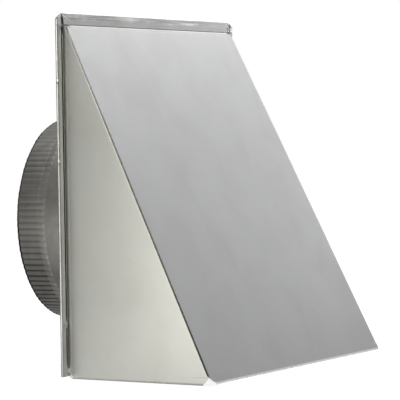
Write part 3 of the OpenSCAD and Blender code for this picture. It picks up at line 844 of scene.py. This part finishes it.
# Painted light and shade on the outer folds, darker low down and lighter high up, and a darker lip
# face.
outer = x.maths("ABSOLUTE", x).over(182.9, 183.5)
lip = x.maths("ABSOLUTE", x).over(176.0, 176.6) * (1 - y.over(-2.3, -2.0)) * (1 - hem)
painted_light_and_shade = (1 + streak - 0.6 * fork + 0.5 * gleam + broken * (1.3 * painted_glint_noise.over(0.5, 0.54) - 0.5)
          + outer * (1 - broken) * (0.4 * z.over(60.0, 150.0) - 0.3) - 0.22 * lip * (1 - outer))
weld_halo_and_painted_light = plate_finish.blend((0.45 * halo).held(), plate_finish.shaded(base, painted_light_and_shade),
                          (0.36, 0.35, 0.36))
rough = Varying(plate_finish, shader.inputs["Roughness"].links[0].from_socket)
plate_finish.drive(Base_Color=plate_finish.blend((0.9 * painted_wall_shade).held(), weld_halo_and_painted_light, (0.06, 0.058, 0.052)),
                   Metallic=1 - 0.9 * painted_wall_shade, Roughness=(rough + 0.4 * painted_wall_shade).held(),
                   Normal=plate_finish.relief(0.0 - print_mark, 0.12, 1.0,
                                              shader.inputs["Normal"].links[0].from_socket))
dress(plate_skin, plate_finish)

# %% [markdown]
# The collar is painted the darkest of the cap, a dark warm grey, which is painted shade for the
# collar lying behind the plate, and it is rougher than the rest. The crests at the start of each
# flute carry a painted highlight, so does the ramp where the flutes run in, and the valleys are
# painted darker as painted shade; the rim is darker too. The sheet is smoky and uneven in
# between, with drawn lines round the collar from rolling. The collar is painted darker
# underneath, as painted shade, and the painted shade in the flutes is darkest there, while the
# part towards the plate is lighter.

# %% Collar's finish
collar_finish = Finish("collar_dull_and_painted_shade_sheet", {"Metallic": 1.0, "Specular IOR Level": 0.5})
here = collar_finish.place()
mottle = collar_finish.noise(here, 0.22, 6.0, 0.66)
cloud = collar_finish.noise(here, 0.035, 4.0, 0.55, 0.5)
drawn = collar_finish.noise(collar_finish.place((0.05, 1.4, 0.05)), 1.2, 4.0, 0.6)
crimped = collar_finish.layer("bend")
_, deep, high = collar_finish.split(here)
towards_plate = 1 - deep.over(35.0, 85.0)
under = 1 - high.over(-58.0, 12.0)
light = crimped.maths("MAXIMUM", crimped, 0.0)
dark = crimped.maths("MINIMUM", crimped, 0.0)
# Painted highlight on the ramp where the flutes run in.
ramp = deep.over(62.5, 65.0) * (1 - deep.over(71.0, 73.0))
tone = (0.80 + 0.22 * mottle + 0.14 * drawn + 0.45 * light + 0.5 * towards_plate + 0.3 * ramp)
# Painted shade: darker underneath, and darker still in the valleys there.
tone = tone * (1 - 0.5 * under)
tone = tone + (0.12 + 0.5 * under) * dark
tone = tone.maths("MAXIMUM", tone, 0.1)
# A dark warm grey: painted shade for the collar lying behind the plate.
colour = collar_finish.blend(cloud.over(0.35, 0.65), (0.23, 0.223, 0.209), (0.178, 0.171, 0.159))
collar_finish.drive(
    Base_Color=collar_finish.shaded(colour, tone),
    Roughness=(0.57 + 0.2 * (mottle - 0.5) + 0.12 * (cloud - 0.5) - 0.05 * crimped).held(),
    Normal=collar_finish.relief(0.6 * mottle + 0.5 * drawn, 0.05))
dress(collar_skin, collar_finish)

# %% [markdown]
# The rod is zinc-plated steel with fine drawing lines and a faint yellowish cast, the rivets
# are bright aluminium with a slight mottle, and the screen's wires are galvanised, which gives
# a crystalline patchy grey. The foam is black, with open cells cut at its surface, so it is matt
# and pitted.

# %% Small metals and foam
rod_finish = Finish("zinc_rod", {"Metallic": 1.0})
drawn = rod_finish.noise(rod_finish.place((0.05, 2.0, 2.0)), 1.5, 4.0, 0.6)
cast = rod_finish.noise(rod_finish.place(), 0.09, 3.0, 0.5)
rod_finish.drive(
    Base_Color=rod_finish.shaded(rod_finish.blend(cast, (0.60, 0.60, 0.61), (0.58, 0.55, 0.48)),
                                 0.85 + 0.25 * drawn),
    Roughness=(0.24 + 0.22 * drawn).held(), Normal=rod_finish.relief(drawn, 0.03))
dress(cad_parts["hinge_rod"], rod_finish)

rivet_finish = Finish("bright_rivet", {"Metallic": 1.0})
mottle = rivet_finish.noise(rivet_finish.place(), 0.9, 5.0, 0.6)
rivet_finish.drive(
    Base_Color=rivet_finish.shaded(
        rivet_finish.blend(mottle.over(0.4, 0.6), (0.76, 0.765, 0.77), (0.66, 0.66, 0.66)),
        0.9 + 0.15 * mottle),
    Roughness=(0.22 + 0.2 * mottle).held(), Normal=rivet_finish.relief(mottle, 0.04))
dress(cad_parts["bracket_rivets"], rivet_finish)

wire_finish = Finish("galvanised_wire", {"Metallic": 1.0})
gap, crystal = wire_finish.spots(wire_finish.place(), 0.35)
dull = wire_finish.noise(wire_finish.place(), 0.06, 4.0, 0.6)
wire_finish.drive(
    Base_Color=wire_finish.shaded(
        wire_finish.blend(crystal, (0.60, 0.61, 0.62), (0.46, 0.47, 0.49)), 0.85 + 0.25 * dull),
    Roughness=(0.3 + 0.25 * dull + 0.08 * crystal).held(),
    Normal=wire_finish.relief(crystal + gap, 0.03))
dress(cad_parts["bird_screen"], wire_finish)
dress(screen_welds, wire_finish)

foam_finish = Finish("black_foam", {"Specular IOR Level": 0.25})
gap, chance = foam_finish.spots(foam_finish.place(), 1.1)
# Painted shade in the foam's cut cells: each pit is darker.
cell = 1 - gap.over(0.2, 0.5)
fuzz = foam_finish.noise(foam_finish.place(), 0.5, 5.0, 0.7)
foam_finish.drive(
    Base_Color=foam_finish.shaded(
        foam_finish.blend(fuzz, (0.035, 0.035, 0.038), (0.075, 0.075, 0.078)), 1 - 0.6 * cell),
    Roughness=(0.78 + 0.15 * chance).held(),
    Normal=foam_finish.relief(0.8 * fuzz - cell, 0.18))
dress(foam_ring, foam_finish)

# %% [markdown]
# The cap stands on a white floor in a plain studio. Metal shows its surroundings, so they
# matter more than the lamps. Here they are mid grey on the right, dark on the left and towards
# the camera, pale overhead, and white below, where the floor would go on. The camera sees the
# world as white, and a reflection of the patch behind the cap is white too, so the metal agrees
# with the background. Seen from underneath, the floor is left out, so that it hides nothing.

# %% Floor and surroundings
FLOOR_Z = (BASE_Z - 0.5) * MM
floor_mesh = bpy.data.meshes.new("floor")
floor_mesh.from_pydata([(-9, -9, FLOOR_Z), (9, -9, FLOOR_Z), (9, 9, FLOOR_Z), (-9, 9, FLOOR_Z)],
                       [], [(0, 1, 2, 3)])
floor = bpy.data.objects.new("floor", floor_mesh)
bpy.context.scene.collection.objects.link(floor)
floor_finish = Finish("white_floor", {"Base Color": (0.28, 0.28, 0.28), "Roughness": 0.85,
                                      "Specular IOR Level": 0.2, "Emission Strength": 1.0})
rays = floor_finish.node("ShaderNodeLightPath").outputs
seen = (Varying(floor_finish, rays["Is Camera Ray"]) + Varying(floor_finish, rays["Is Glossy Ray"])
        + Varying(floor_finish, rays["Is Transmission Ray"])).held()
under = floor_finish.node("ShaderNodeNewGeometry").outputs["Backfacing"]
floor_finish.drive(Emission_Color=floor_finish.blend(seen, (0, 0, 0), (0.87, 0.87, 0.87)),
                   Alpha=1 - Varying(floor_finish, under))
dress(floor, floor_finish)

YAW, PITCH_DOWN, ROLL = math.radians(62.64), math.radians(1.81), math.radians(-0.90)
look = Vector((math.sin(YAW) * math.cos(PITCH_DOWN), math.cos(YAW) * math.cos(PITCH_DOWN),
               -math.sin(PITCH_DOWN)))
studio = Finish("studio", {"Strength": 1.0}, world=True)
direction = studio.node("ShaderNodeTexCoord").outputs["Generated"]
across, inward, up = studio.split(direction)
rays = studio.node("ShaderNodeLightPath").outputs
facing = Varying(studio, studio.node("ShaderNodeVectorMath", {"operation": "DOT_PRODUCT"},
                                     {0: direction, 1: tuple(look)}).outputs["Value"])
mirrored = (Varying(studio, rays["Is Glossy Ray"]) + Varying(studio, rays["Is Transmission Ray"]))
white = (Varying(studio, rays["Is Camera Ray"]) + mirrored * facing.over(0.975, 0.992)).held()
sides = studio.blend(across.over(0.3, 0.85), (0.05, 0.049, 0.046), (0.54, 0.54, 0.548))
sides = studio.blend(1 - across.over(-0.9, -0.7), sides, (0.12, 0.12, 0.113))
sides = studio.blend(inward.over(0.75, 0.95), sides, (0.42, 0.42, 0.42))
walls = studio.blend(up.over(0.6, 0.9), sides, (0.85, 0.85, 0.85))
ground = studio.blend(up.over(-0.02, 0.0), (0.9, 0.9, 0.9), walls)
studio.drive(Color=studio.blend(white, ground, (1, 1, 1)))
bpy.context.scene.world = studio.owner

# %% [markdown]
# Four soft lamps. The key stands to the right and high, so the slanted front mirrors its lower
# edge: bright at the top and darker downwards, and a small fill on the same side lifts the
# front's right half. A wide one overhead lights the floor and the folds. On the left, a tall
# warm one close to the side panel lights it more towards its front, and draws a thin bright
# line down the bend beside it.

# %% Lamps
def soft_lamp(name, place, size, radiance, aim, colour=(1, 1, 1)):
    """A square or oblong area lamp, given by how bright its face is."""
    lamp = bpy.data.lights.new(name, "AREA")
    lamp.shape, (lamp.size, lamp.size_y), lamp.color = "RECTANGLE", size, colour
    lamp.energy = radiance * math.pi * size[0] * size[1]
    holder = bpy.data.objects.new(name, lamp)
    bpy.context.scene.collection.objects.link(holder)
    holder.location, holder.visible_camera = place, False
    holder.rotation_euler = (Vector(aim) - Vector(place)).to_track_quat("-Z", "Y").to_euler()
    print(name, round(lamp.energy, 1), "W")


soft_lamp("key", (1.45, -0.04, 1.1), (1.0, 1.0), 2.75, (0, -0.08, 0.05))
soft_lamp("overhead", (0.0, 0.1, 1.9), (1.8, 1.8), 1.35, (0, 0, 0))
soft_lamp("right_fill", (0.9, -0.29, 0.22), (0.34, 0.34), 0.72, (0, -0.08, 0))
soft_lamp("left_fill", (-0.42, -0.025, -0.035), (0.22, 0.53), 1.9, (-0.18, -0.025, -0.035),
          (1.0, 0.99, 0.92))

# %% [markdown]
# The camera stands low on the left, almost side on to the slanted front, with a long lens, as
# the photograph does.

# %% Camera
right = Vector((math.cos(YAW), -math.sin(YAW), 0))
upward = right.cross(look)
right, upward = (right * math.cos(ROLL) + upward * math.sin(ROLL),
                 upward * math.cos(ROLL) - right * math.sin(ROLL))
lens = bpy.data.cameras.new("camera")
lens.lens, lens.sensor_width = 232.35, 36
camera = bpy.data.objects.new("camera", lens)
bpy.context.scene.collection.objects.link(camera)
turned = Matrix((right, upward, -look)).transposed().to_4x4()
camera.matrix_world = Matrix.Translation((-2.279, -1.235, 0.0994)) @ turned
bpy.context.scene.camera = camera
bpy.context.scene.view_settings.view_transform = "Standard"

# %% [markdown]
# The last cell brings the scene up to date.

# %% Finish
bpy.context.view_layer.update()
